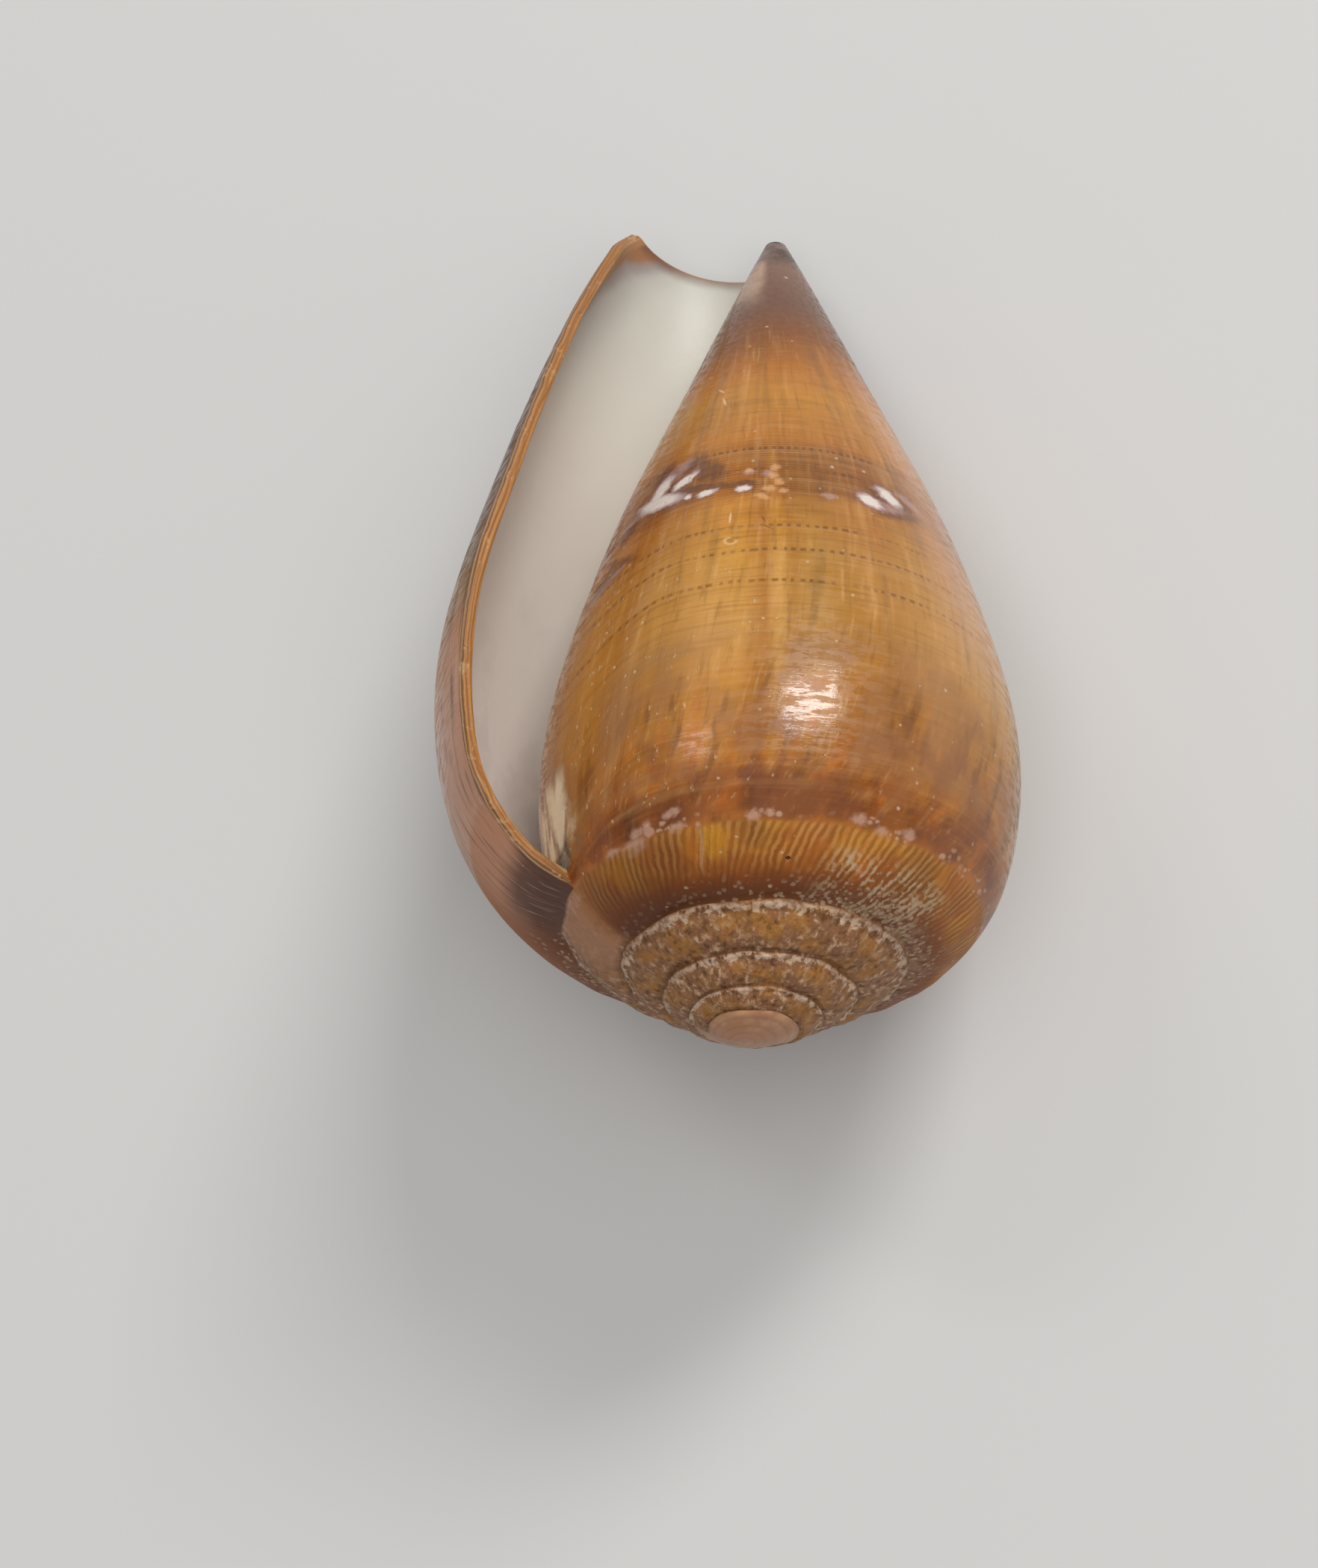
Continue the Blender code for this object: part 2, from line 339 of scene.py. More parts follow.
def add_cap(ring, back, number, middle, rise, steps):
    """A low dome over a ring of corners."""
    points = np.concatenate(places)[ring]
    even = points
    for _ in range(400):
        even = (np.roll(even, 1, axis=0) + 2 * even + np.roll(even, -1, axis=0)) / 4
    shells = [ring]
    for step in range(1, steps):
        share = step / steps
        lift = rise * (1 - (1 - share) ** 2)
        rim = points + (even - points) * ease(share, 0, 0.4)
        shells.append(new_corners(rim + (middle - rim) * share + (0, 0, lift)))
    top = new_corners(np.array([middle + (0, 0, rise)]))
    shells.append(np.full(len(ring), top[0]))
    ids = np.stack(shells, axis=1)
    ids = np.concatenate([ids, ids[:1]])
    back = np.append(back, back[-1])[:, None]
    add_sheet(ids, back, number + np.linspace(0, 1, steps + 1)[None, :], OUTSIDE)


# The outer surface: the last whorl, the spire, and the whorl before where the
# opening shows it. Then the lining, from the root on that whorl to where the
# wall closes onto it.
back = (columns / COLUMNS)[:, None]
last_whorl = slice(0, COLUMNS + 1)
spire = slice(COLUMNS, top_column + 1)
ramp = slice(0, shoulder_row + 1)
shown = slice(COLUMNS, COLUMNS + deep_column + 1)
add_sheet(outer_id[last_whorl], back[last_whorl], rows[None], OUTSIDE)
add_sheet(outer_id[spire, ramp], back[spire], rows[None, ramp], OUTSIDE)
shut = four_corners(met).all(axis=-1)
shut[:, 0] = False
below = outer_id[shown, root_row:]
add_sheet(below, back[shown], rows[None, root_row:], OUTSIDE, keep=~shut[:, root_row:])
add_sheet(inner_id, -turn_in, row_in, GLAZE, keep=~shut)
for r in range(root_row, last_row):
    under = below[-1, r - root_row : r + 2 - root_row]
    ends = [inner_id[-1, r], inner_id[-1, r + 1], under[1], under[0]]
    if len(set(ends)) > 2:
        faces.append(list(dict.fromkeys(ends)))
        growth_map.extend([(SPACE_TURNS, rows[r])] * len(faces[-1]))
        finish.append(GLAZE)
faces.append(inner_id[-1, : root_row + 1].tolist())
growth_map.extend([(SPACE_TURNS, 1)] * len(faces[-1]))
finish.append(GLAZE)

# The lip's edge and the notch's, rounded over from the outer surface to the
# lining, and the two ends: the tip, and the worn top of the spire.
share = np.linspace(0, 1, across_lip + 1)
round_share = (1 - np.cos(math.pi * share)) / 2
start, end = outer_places[0], inner_places[0]
settled = ease(rows, 0, FREE_ROW)[:, None]
mixed = share + (round_share - share) * settled
ahead = unit(outside(0.004, rows) - outside(0, rows))
chips = rumple(start, 1.1, 5.2) * 0.07 + rumple(start, 3.5, 1.3) * 0.1
edge_places = start[:, None] + (end - start)[:, None] * mixed[..., None]
layered = 0.05 * np.cos(math.tau * (3.2 * share + rumple(start, 4.0, 9.9)[:, None]))
swell = ((0.3 + chips)[:, None] + layered) * np.sin(math.pi * share) * settled
edge_places += ahead[:, None] * swell[..., None]
root_line = outer_places[COLUMNS, shoulder_row : root_row + 1]
straight = root_line[0] + (root_line[-1] - root_line[0]) * share[:, None]
edge_places += (root_line - straight) * (1 - settled)[..., None]
lip_id = new_corners(edge_places)
lip_id[0] = outer_id[COLUMNS, shoulder_row : root_row + 1]
lip_id[:, 0] = outer_id[0]
lip_id[:, -1] = inner_id[0]
add_sheet(lip_id, share[None], rows[:, None], LIP)

cut = slice(0, closed_column + 1)
start = outer_places[cut, last_row]
end = np.where(
    met[cut, last_row][:, None], outer_places[COLUMNS:][cut, last_row], inner_places[cut, last_row]
)
notch_places = start[:, None] + (end - start)[:, None] * round_share[None, :, None]
notch_places[..., 2] -= 0.25 * np.sin(math.pi * share)
notch_id = new_corners(notch_places)
notch_id[0] = lip_id[-1]
notch_id[:, 0] = outer_id[cut, last_row]
notch_id[:, -1] = inner_id[cut, last_row]
add_sheet(notch_id, share[None], np.full((closed_column + 1, 1), 8.0), LIP)

ring = outer_id[closed_column : COLUMNS + closed_column + 1, last_row]
ring = np.concatenate([ring, notch_id[-1, -2:0:-1]])
middle = np.array([0, 0, -LENGTH - 0.05])
add_cap(ring, np.linspace(0.16, 1.16, len(ring)), 8, middle, -0.3, 4)
ring = outer_id[top_column - COLUMNS : top_column + 1, 0]
ring = np.concatenate([ring, outer_id[top_column, 1:shoulder_row]])
middle = np.concatenate(places)[ring].mean(axis=0)
add_cap(ring, np.linspace(TOP_TURNS - 1, TOP_TURNS, len(ring)), 10, middle, TOP_RISE, 8)

# It is laid down as it rests: its peak towards -Y and raised, its opening up.
SLOPE = 19.9
ROLL = 142.5
resting = Matrix.Rotation(math.radians(90 - SLOPE), 3, "X") @ Matrix.Rotation(math.radians(ROLL), 3, "Z")
places = np.concatenate(places)
used = np.unique(np.concatenate([np.array(face) for face in faces]))
number = np.zeros(len(places), int)
number[used] = np.arange(len(used))
faces = [[int(number[i]) for i in face] for face in faces]
places = places[used] @ np.array(resting).T * MM
low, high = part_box("shell")
middle = (places.min(axis=0) + places.max(axis=0)) / 2
stand = Vector((*middle[:2], places[:, 2].min()))
place = Vector(((low.x + high.x) / 2, (low.y + high.y) / 2, 0)) - stand
places += np.array(place)

mesh = bpy.data.meshes.new("cone_shell")
mesh.from_pydata(places.tolist(), [], faces)
# Its two maps: (back, row), and (around, along) with AROUND millimetres a turn.
AROUND = 68.0
growth_map = np.array(growth_map, float)
threads_map = np.stack([AROUND * growth_map[:, 0], down_the_side(growth_map[:, 1])], axis=-1)
for name, coordinates in (("growth", growth_map), ("threads", threads_map)):
    mesh.uv_layers.new(name=name)
    mesh.uv_layers[name].data.foreach_set("uv", coordinates.ravel())
mesh.polygons.foreach_set("material_index", np.array(finish))
shape = bmesh.new()
shape.from_mesh(mesh)
bmesh.ops.recalc_face_normals(shape, faces=shape.faces)
shape.to_mesh(mesh)
shape.free()
mesh.shade_smooth()
shell = bpy.data.objects.new("cone_shell", mesh)
bpy.context.scene.collection.objects.link(shell)
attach(shell, "root")
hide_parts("shell")


# Its finishes, painted on the lines it grew along. Back is turns from the lip,
# row is the row number, and around and along are millimetres on the side.


class Field:
    """A value that changes over the surface, so that masks can be written as sums."""

    def __init__(self, socket):
        self.socket = socket

    def __add__(self, other):
        return field("ADD", self, other)

    def __sub__(self, other):
        return field("SUBTRACT", self, other)

    def __rsub__(self, other):
        return field("SUBTRACT", other, self)

    def __mul__(self, other):
        return field("MULTIPLY", self, other)

    __radd__ = __add__
    __rmul__ = __mul__

    def over(self, other):
        """The larger of the two."""
        return field("MAXIMUM", self, other)

    def wave(self):
        """A sine wave with one crest a unit, from 0 to 1."""
        return field("SINE", self * math.tau) * 0.5 + 0.5

    def ease(self, start, end, low=0.0, high=1.0):
        """From low at start to high at end, with a smooth step between."""
        node = self.socket.id_data.nodes.new("ShaderNodeMapRange")
        node.interpolation_type = "SMOOTHSTEP"
        node.inputs["From Min"].default_value = start
        node.inputs["From Max"].default_value = end
        node.inputs["To Min"].default_value = low
        node.inputs["To Max"].default_value = high
        self.socket.id_data.links.new(self.socket, node.inputs["Value"])
        return Field(node.outputs["Result"])

    def band(self, start, end, soft):
        """1 between start and end, fading to 0 over this distance outside them."""
        return self.ease(start - soft, start) * self.ease(end + soft, end)

    def ramp(self, stops):
        """A colour read off these (place, colour) stops."""
        node = self.socket.id_data.nodes.new("ShaderNodeValToRGB")
        stones = node.color_ramp.elements
        while len(stones) < len(stops):
            stones.new(1)
        for stone, (place, colour) in zip(stones, stops):
            stone.position = place
            stone.color = colour
        self.socket.id_data.links.new(self.socket, node.inputs["Fac"])
        return node.outputs["Color"]


def field(operation, *values):
    """A Math node on these values, some of which are fields."""
    tree = next(value for value in values if isinstance(value, Field)).socket.id_data
    node = tree.nodes.new("ShaderNodeMath")
    node.operation = operation
    for socket, value in zip(node.inputs, values):
        if isinstance(value, Field):
            tree.links.new(value.socket, socket)
        else:
            socket.default_value = value
    return Field(node.outputs[0])


def combine(x, y):
    """A flat vector of two fields."""
    node = x.socket.id_data.nodes.new("ShaderNodeCombineXYZ")
    for socket, value in zip(node.inputs, (x, y)):
        x.socket.id_data.links.new(value.socket, socket)
    return node.outputs[0]


def clouds(vector, size, detail, roughness, seed):
    """Soft noise from 0 to 1 whose features are this large."""
    tree = vector.id_data
    node = tree.nodes.new("ShaderNodeTexNoise")
    node.noise_dimensions = "4D"
    node.inputs["W"].default_value = seed
    node.inputs["Scale"].default_value = 1 / size
    node.inputs["Detail"].default_value = detail
    node.inputs["Roughness"].default_value = roughness
    tree.links.new(vector, node.inputs["Vector"])
    return Field(node.outputs["Fac"])


def cells(vector, size):
    """How near some scattered points are, in their spacing, and two numbers for each."""
    tree = vector.id_data
    node = tree.nodes.new("ShaderNodeTexVoronoi")
    node.inputs["Scale"].default_value = 1 / size
    tree.links.new(vector, node.inputs["Vector"])
    split = tree.nodes.new("ShaderNodeSeparateColor")
    tree.links.new(node.outputs["Color"], split.inputs[0])
    return Field(node.outputs["Distance"]), Field(split.outputs[0]), Field(split.outputs[1])


def hue(code):
    """A linear colour from its six hexadecimal digits."""
    parts = [int(code[i : i + 2], 16) / 255 for i in (0, 2, 4)]
    return [p / 12.92 if p < 0.04045 else ((p + 0.055) / 1.055) ** 2.4 for p in parts] + [1]


def coat(base, colour, mask, mode="MIX"):
    """Lays a colour over a base where the mask is 1."""
    tree = mask.socket.id_data
    node = tree.nodes.new("ShaderNodeMix")
    node.data_type = "RGBA"
    node.blend_type = mode
    tree.links.new(mask.socket, node.inputs[0])
    for socket, value in ((node.inputs[6], base), (node.inputs[7], colour)):
        if isinstance(value, str):
            socket.default_value = hue(value)
        else:
            tree.links.new(value, socket)
    return node.outputs[2]


def growth_fields(tree):
    """Back and row, around and along, and the place in millimetres."""
    found = []
    for name in ("growth", "threads"):
        uv = tree.nodes.new("ShaderNodeUVMap")
        uv.uv_map = name
        split = tree.nodes.new("ShaderNodeSeparateXYZ")
        tree.links.new(uv.outputs[0], split.inputs[0])
        found += [Field(split.outputs[0]), Field(split.outputs[1])]
    place = tree.nodes.new("ShaderNodeTexCoord").outputs["Object"]
    larger = tree.nodes.new("ShaderNodeVectorMath")
    larger.operation = "SCALE"
    larger.inputs["Scale"].default_value = 1 / MM
    tree.links.new(place, larger.inputs[0])
    return (*found, larger.outputs[0])


def grain_group():
    """The fine grain and the sparse pits that all of its finishes wear, as a node group."""
    tree = bpy.data.node_groups.new("grain and pits", "ShaderNodeTree")
    tree.interface.new_socket("Place", in_out="INPUT", socket_type="NodeSocketVector")
    for name in ("Grain", "Pits"):
        tree.interface.new_socket(name, in_out="OUTPUT", socket_type="NodeSocketFloat")
    place = tree.nodes.new("NodeGroupInput").outputs["Place"]
    out = tree.nodes.new("NodeGroupOutput")
    near, pick, other = cells(place, 0.8)
    crowd = clouds(place, 5.0, 1, 0.5, 24.0).ease(0.35, 0.65)
    pits = (near + pick * 0.14 + clouds(place, 0.2, 2, 0.5, 28.0) * 0.2).ease(0.34, 0.18)
    pits = pits * (other + crowd * 0.35).ease(0.84, 0.94)
    tree.links.new(clouds(place, 0.35, 3, 0.6, 1.0).socket, out.inputs["Grain"])
    tree.links.new(pits.socket, out.inputs["Pits"])
    return tree


def grain_and_pits(place):
    """That grain and those pits, in this material."""
    node = place.id_data.nodes.new("ShaderNodeGroup")
    node.node_tree = bpy.data.node_groups.get("grain and pits") or grain_group()
    place.id_data.links.new(place, node.inputs["Place"])
    return Field(node.outputs["Grain"]), Field(node.outputs["Pits"])


def new_finish(name):
    """A material on the shell, with its node tree and its surface."""
    material = bpy.data.materials.new(name)
    material.use_nodes = True
    mesh.materials.append(material)
    return material.node_tree, material.node_tree.nodes["Principled BSDF"]


def finish_surface(tree, surface, colour, roughness, height):
    """Joins a colour, a roughness and a height in millimetres to the surface."""
    bump = tree.nodes.new("ShaderNodeBump")
    bump.inputs["Strength"].default_value = 1
    bump.inputs["Distance"].default_value = MM
    tree.links.new(height.socket, bump.inputs["Height"])
    tree.links.new(colour, surface.inputs["Base Color"])
    tree.links.new(roughness.socket, surface.inputs["Roughness"])
    tree.links.new(bump.outputs["Normal"], surface.inputs["Normal"])


# The outside: a honey-brown porcelain with a darker band and pale flecks.
ROW_COLOURS = (
    (0.0, "6b3d1b"),
    (0.4, "6f360e"),
    (1.0, "8c4a12"),
    (1.6, "a05716"),
    (1.95, "a96728"),
    (2.15, "90501a"),
    (2.5, "8d4914"),
    (3.0, "a9651e"),
    (3.6, "b1742e"),
    (4.0, "b8823f"),
    (4.5, "b67d2f"),
    (4.78, "af7022"),
    (4.86, "97570f"),
    (5.15, "9f5e10"),
    (5.22, "ae6a18"),
    (5.5, "b2731e"),
    (5.62, "b8791d"),
    (5.8, "ae6711"),
    (6.1, "7f460f"),
    (6.5, "6b4734"),
    (7.0, "7a5a4a"),
    (7.5, "4b352d"),
    (8.0, "402d27"),
)
# How the stripes tint red, green and blue, from place to place on a line that
# leans a little back as it goes down the side.
STRIPES = (
    (0.6, (1.0, 1.05, 1.2)),
    (0.64, (1.0, 1.1, 1.3)),
    (0.69, (0.97, 1.0, 1.0)),
    (0.715, (0.8, 0.75, 0.55)),
    (0.745, (0.7, 0.75, 0.65)),
    (0.772, (0.85, 1.0, 1.2)),
    (0.785, (0.75, 0.8, 0.8)),
    (0.794, (1.25, 1.3, 1.4)),
    (0.803, (0.72, 0.7, 0.75)),
    (0.82, (1.4, 1.35, 1.4)),
    (0.845, (1.45, 1.4, 1.7)),
    (0.868, (0.9, 0.9, 0.8)),
    (0.88, (1.0, 0.95, 0.65)),
    (0.905, (0.7, 0.6, 0.4)),
    (0.94, (1.1, 0.9, 0.5)),
    (0.98, (0.95, 0.8, 0.55)),
)
DASHED_ROWS = (4.3, 4.49, 4.64, 5.02, 5.17)
# Each mark is (turns back, row, half its length, half its width, lean in degrees).
WHITE_FLECKS = (
    (0.9405, 4.965, 1.25, 0.42, 13),
    (0.9420, 5.05, 0.85, 0.42, -62),
    (0.9152, 5.043, 0.72, 0.28, -33),
    (0.908, 4.918, 0.16, 0.18, 0),
    (0.891, 4.91, 0.45, 0.21, -12),
    (0.8577, 4.897, 0.32, 0.2, -7),
    (0.7532, 4.881, 0.52, 0.36, 33),
    (0.7321, 4.961, 0.62, 0.36, 45),
)
FAINT_FLECKS = (
    (0.931, 5.12, 1.2, 0.5, -40),
    (0.854, 5.009, 0.3, 0.2, 0),
    (0.8385, 4.99, 0.25, 0.2, 0),
    (0.739, 4.872, 1.1, 0.3, -14),
    (0.7443, 4.99, 0.22, 0.22, 0),
    (0.974, 4.945, 0.75, 0.18, -9),
    (0.971, 4.69, 0.6, 0.16, -10),
    (0.992, 4.66, 0.9, 0.2, -10),
    (1.005, 4.85, 0.8, 0.2, -10),
    (0.710, 4.99, 0.7, 0.3, 28),
    (0.789, 4.855, 0.35, 0.2, 0),
)
CREAM_FLECKS = (
    (0.8345, 4.975, 0.3, 0.26, 0),
    (0.829, 4.93, 0.26, 0.3, 0),
    (0.8375, 4.885, 0.4, 0.3, 20),
    (0.826, 4.87, 0.26, 0.22, 0),
    (0.8425, 4.83, 0.45, 0.2, 35),
    (0.8325, 5.03, 0.3, 0.3, 0),
    (0.854, 5.02, 0.3, 0.2, 0),
)
DARK_PATCHES = (
    (0.945, 5.16, 0.9, 0.5, -60),
    (0.885, 5.05, 0.9, 0.5, 70),
    (0.8966, 5.09, 1.3, 0.4, 78),
    (0.912, 5.14, 0.9, 0.45, -30),
    (0.894, 4.953, 2.2, 0.28, 10),
    (0.928, 5.025, 0.6, 0.22, -50),
    (0.858, 4.93, 0.5, 0.25, 0),
    (0.973, 4.9, 0.7, 0.5, -53),
    (0.972, 4.742, 1.5, 0.25, 30),
    (0.985, 4.70, 1.2, 0.6, 0),
    (0.724, 4.86, 1.5, 0.32, -25),
    (0.7425, 4.93, 0.6, 0.25, 40),
    (0.716, 4.93, 0.5, 0.5, 0),
)
# Pink lumps worn out of the shoulder.
LUMPS = (
    (0.939, 2.0, 0.5, 0.35, 0),
    (0.918, 1.94, 0.8, 0.5, -10),
    (0.902, 2.18, 0.3, 0.4, 0),
    (0.912, 2.17, 0.4, 0.3, 0),
    (0.881, 2.3, 0.45, 0.25, -15),
    (0.878, 2.02, 0.4, 0.3, 0),
    (0.9, 2.1, 0.3, 0.25, 0),
    (0.82, 2.05, 0.35, 0.3, 0),
    (0.808, 2.12, 0.25, 0.2, 0),
    (0.743, 2.12, 0.4, 0.3, 0),
    (0.723, 1.98, 0.35, 0.3, 0),
    (0.702, 2.1, 0.35, 0.3, 0),
)
# Small scars of the last whorl, and where something had grown on it.
SCRATCHES = (
    (0.897, 5.68, 0.5, 0.07, 44),
    (0.889, 5.58, 0.55, 0.09, 66),
    (0.867, 4.707, 0.5, 0.06, 90),
)
CRACK = (
    (0.8415, 4.683, 0.3, 0.04, 72),
    (0.838, 4.63, 0.3, 0.04, 42),
)
RING = ((0.865, 4.56, 0.33, 0.26, 40),)
RING_GAP = ((0.861, 4.58, 0.3, 0.22, 40),)
# Marks of the ramp: a pit, burnt and amber patches, and a healed line.
PIT = ((0.79, 1.25, 0.1, 0.08, 0),)
BURNT = (
    (0.728, 1.2, 0.25, 0.7, 10),
    (0.868, 1.6, 0.3, 0.9, 0),
)
AMBER = ((0.849, 1.65, 0.7, 1.0, 0),)
HEALED = ((0.8615, 1.57, 1.3, 0.1, -82),)


def flecks(marks, vector):
    """How far the nearest of these marks is, in its own sizes, up to 3 of them."""
    tree = vector.id_data
    nearest = None
    for mark_back, mark_row, length, width, lean in marks:
        node = tree.nodes.new("ShaderNodeMapping")
        node.vector_type = "TEXTURE"
        centre = (AROUND * mark_back, float(down_the_side(mark_row)), 0)
        node.inputs["Location"].default_value = centre
        node.inputs["Rotation"].default_value = (0, 0, math.radians(lean))
        node.inputs["Scale"].default_value = (3 * length, 3 * width, 1)
        tree.links.new(vector, node.inputs["Vector"])
        ball = tree.nodes.new("ShaderNodeTexGradient")
        ball.gradient_type = "SPHERICAL"
        tree.links.new(node.outputs[0], ball.inputs["Vector"])
        share = Field(ball.outputs["Fac"])
        nearest = share if nearest is None else nearest.over(share)
    return (1 - nearest) * 3


tree, surface = new_finish("honey porcelain")
back, row, around, along, spot = growth_fields(tree)
side = combine(around, along)
fine, specks = grain_and_pits(spot)
slow = clouds(spot, 4.0, 2, 0.5, 2.0)
patchy = clouds(spot, 1.6, 3, 0.6, 3.0)
old = back.ease(0.985, 1.02)
ramp_mask = (row + (patchy - 0.5) * 0.12).ease(2.04, 1.9)
dome = row.ease(9.6, 10.1)
spire = old * ramp_mask

# Growth lines run along the shell, in stripes of tan, orange and olive.
lines = combine(around + row * 0.5, row * 1.1)
broad = clouds(lines, 2.6, 1, 0.5, 4.0)
narrow = clouds(lines, 0.9, 2, 0.6, 5.0)
hair = clouds(lines, 0.28, 2, 0.6, 6.0)
shade = row + (slow - 0.5) * 0.25 + (narrow - 0.5) * 0.1
colour = (shade * 0.125).ramp([(number / 8, hue(code)) for number, code in ROW_COLOURS])
stripes = row.band(2.4, 5.0, 0.5)
lean = back - row * 0.008 + (patchy - 0.5) * 0.005
tints = (lean * 2.5 - 1.48).ramp(
    [(turns * 2.5 - 1.48, (red / 2, green / 2, blue / 2, 1)) for turns, (red, green, blue) in STRIPES]
)
colour = coat(colour, tints, stripes, "SOFT_LIGHT")
unseen = back.ease(0.66, 0.6)
colour = coat(colour, "84642c", broad.ease(0.5, 0.34) * stripes * (unseen * 0.4 + 0.12))
colour = coat(colour, "c98c45", broad.ease(0.52, 0.7) * stripes * (unseen * 0.4 + 0.12))
fading = row.band(2.4, 6.0, 0.4)
colour = coat(colour, "6b4a20", narrow.ease(0.5, 0.28) * fading * 0.35)
colour = coat(colour, "dda766", narrow.ease(0.54, 0.75) * fading * 0.3)
colour = coat(colour, "e3b67a", hair.ease(0.56, 0.75) * fading * 0.25)
colour = coat(colour, "553717", hair.ease(0.45, 0.28) * fading * 0.3)

streak = clouds(combine(around + row * 0.3, row * 1.6), 1.2, 3, 0.65, 29.0)
low = row.band(2.1, 3.5, 0.35)
colour = coat(colour, "ba681e", streak.ease(0.52, 0.66) * low * 0.6)
colour = coat(colour, "5c2f16", streak.ease(0.48, 0.34) * low * 0.55)
# Painted shade: two darker bands just below the shoulder.
painted_shade = back.band(0.88, 0.91, 0.03) * row.band(2.2, 2.6, 0.3)
painted_shade = painted_shade.over(back.band(0.812, 0.826, 0.008) * row.band(2.3, 2.7, 0.25))
colour = coat(colour, "54290e", painted_shade * (0.35 + narrow * 0.4))

# Spiral striae, a net of fine lines in the band, and rows of dark dashes.
arcs = clouds(combine(around * 0.03, along + patchy * 0.2), 0.9, 2, 0.6, 30.0)
colour = coat(colour, "b4854f", arcs.ease(0.52, 0.68) * row.band(2.6, 5.6, 0.3) * 0.28)
colour = coat(colour, "75501f", arcs.ease(0.48, 0.34) * row.band(2.6, 5.6, 0.3) * 0.22)
striae = clouds(combine(around * 0.06, along + patchy * 0.25), 0.2, 1, 0.5, 20.0)
weave = row.band(4.2, 5.5, 0.3)
colour = coat(colour, "57361a", striae.ease(0.48, 0.3) * fading * (weave * 0.14 + 0.08))
colour = coat(colour, "d8a868", striae.ease(0.55, 0.75) * fading * 0.12)
crossed = (along * 4.2 + patchy * 0.8).wave() * 0.5 + hair
net = crossed.ease(0.88, 0.72) * row.band(4.88, 5.2, 0.05)
colour = coat(colour, "4a2c14", net * 0.3)
straight = row + (patchy - 0.5) * 0.012
pace = around * 2.1 + narrow * 1.8 + fine * 0.3
dashed = None
for line in DASHED_ROWS:
    thin = field("ABSOLUTE", straight - line).ease(0.015, 0.003)
    dash = thin * (pace + line * 37).wave().ease(0.3, 0.75, 0.12, 1.0)
    dashed = dash if dashed is None else dashed.over(dash)
gaps = clouds(combine(around, row * 20), 3.2, 2, 0.6, 7.0).ease(0.36, 0.56)
dashes = dashed * (gaps * 0.8 + 0.2)
colour = coat(colour, "5a2b06", dashes * 0.6)

# Pale flecks in the band, with dark patches round them.
shift = tree.nodes.new("ShaderNodeVectorMath")
shift.operation = "ADD"
tree.links.new(side, shift.inputs[0])
ragged_around = (clouds(side, 0.5, 2, 0.6, 8.0) - 0.5) * 0.8
ragged_along = (clouds(side, 0.5, 2, 0.6, 9.0) - 0.5) * 0.6
tree.links.new(combine(ragged_around, ragged_along), shift.inputs[1])
torn = shift.outputs[0]
far = back.band(0.14, 0.66, 0.03)
gap, pick, _ = cells(torn, 2.6)
hidden = gap.ease(0.34, 0.2) * pick.ease(0.55, 0.6) * far * row.band(4.88, 5.1, 0.06)
hidden_dark = gap.ease(0.75, 0.35) * pick.ease(0.45, 0.5) * far * row.band(4.86, 5.14, 0.05)
colour = coat(colour, "3d1c16", hidden_dark * 0.5)
colour = coat(colour, "4b251b", flecks(DARK_PATCHES, torn).ease(1.9, 0.6) * 0.6)
colour = coat(colour, "b0928f", flecks(FAINT_FLECKS, torn).ease(1.9, 0.7) * 0.5)
white = flecks(WHITE_FLECKS, torn)
colour = coat(colour, "6b4540", white.ease(2.8, 1.6) * 0.35)
colour = coat(colour, "e3ab74", flecks(CREAM_FLECKS, torn).ease(1.6, 0.3) * 0.55)
colour = coat(colour, "b39b99", white.ease(1.9, 1.3).over(hidden) * 0.85)
colour = coat(colour, "dacdc1", white.ease(1.5, 0.8).over(hidden) * 0.95)

# Mauve and pink clouding, by the shoulder and towards the tip, and a painted pink sheen part way round
# the side.
cloud = clouds(spot, 3.0, 3, 0.6, 10.0)
colour = coat(colour, "76432a", (cloud + narrow * 0.3).ease(0.57, 0.8) * row.band(2.15, 3.2, 0.35) * 0.6)
colour = coat(colour, "91633e", (slow + narrow * 0.3).ease(0.55, 0.75) * row.band(3.1, 3.85, 0.3) * 0.55)
faded = row.ease(6.9, 8.0) * clouds(spot, 1.2, 2, 0.6, 11.0).ease(0.4, 0.65)
colour = coat(colour, "b59a8c", faded * 0.35)
# A painted reflection: a pale pink sheen down the side, from 0.56 to 0.675 turns back.
pink_rim_sheen = row.band(4.6, 5.4, 0.8) * back.band(0.56, 0.675, 0.06)
colour = coat(colour, "cb9c80", pink_rim_sheen * 0.5)
pale_tip = back.band(0.87, 0.95, 0.05) * row.band(6.8, 7.4, 0.4)
colour = coat(colour, "cbab90", pale_tip * patchy.ease(0.3, 0.6) * 0.6)
dots, _, size = cells(side, 0.55)
near_shoulder = (row + (patchy - 0.5) * 0.5).band(1.98, 2.16, 0.06)
shoulder_dots = (dots + size * 0.25 + fine * 0.3).ease(0.72, 0.46) * near_shoulder
shoulder_dots = shoulder_dots * clouds(side, 2.2, 1, 0.5, 25.0).ease(0.42, 0.54)
colour = coat(colour, "c9a48c", shoulder_dots * 0.6)
colour = coat(colour, "c09780", flecks(LUMPS, torn).ease(1.5, 0.5) * (fine * 0.5 + 0.4))

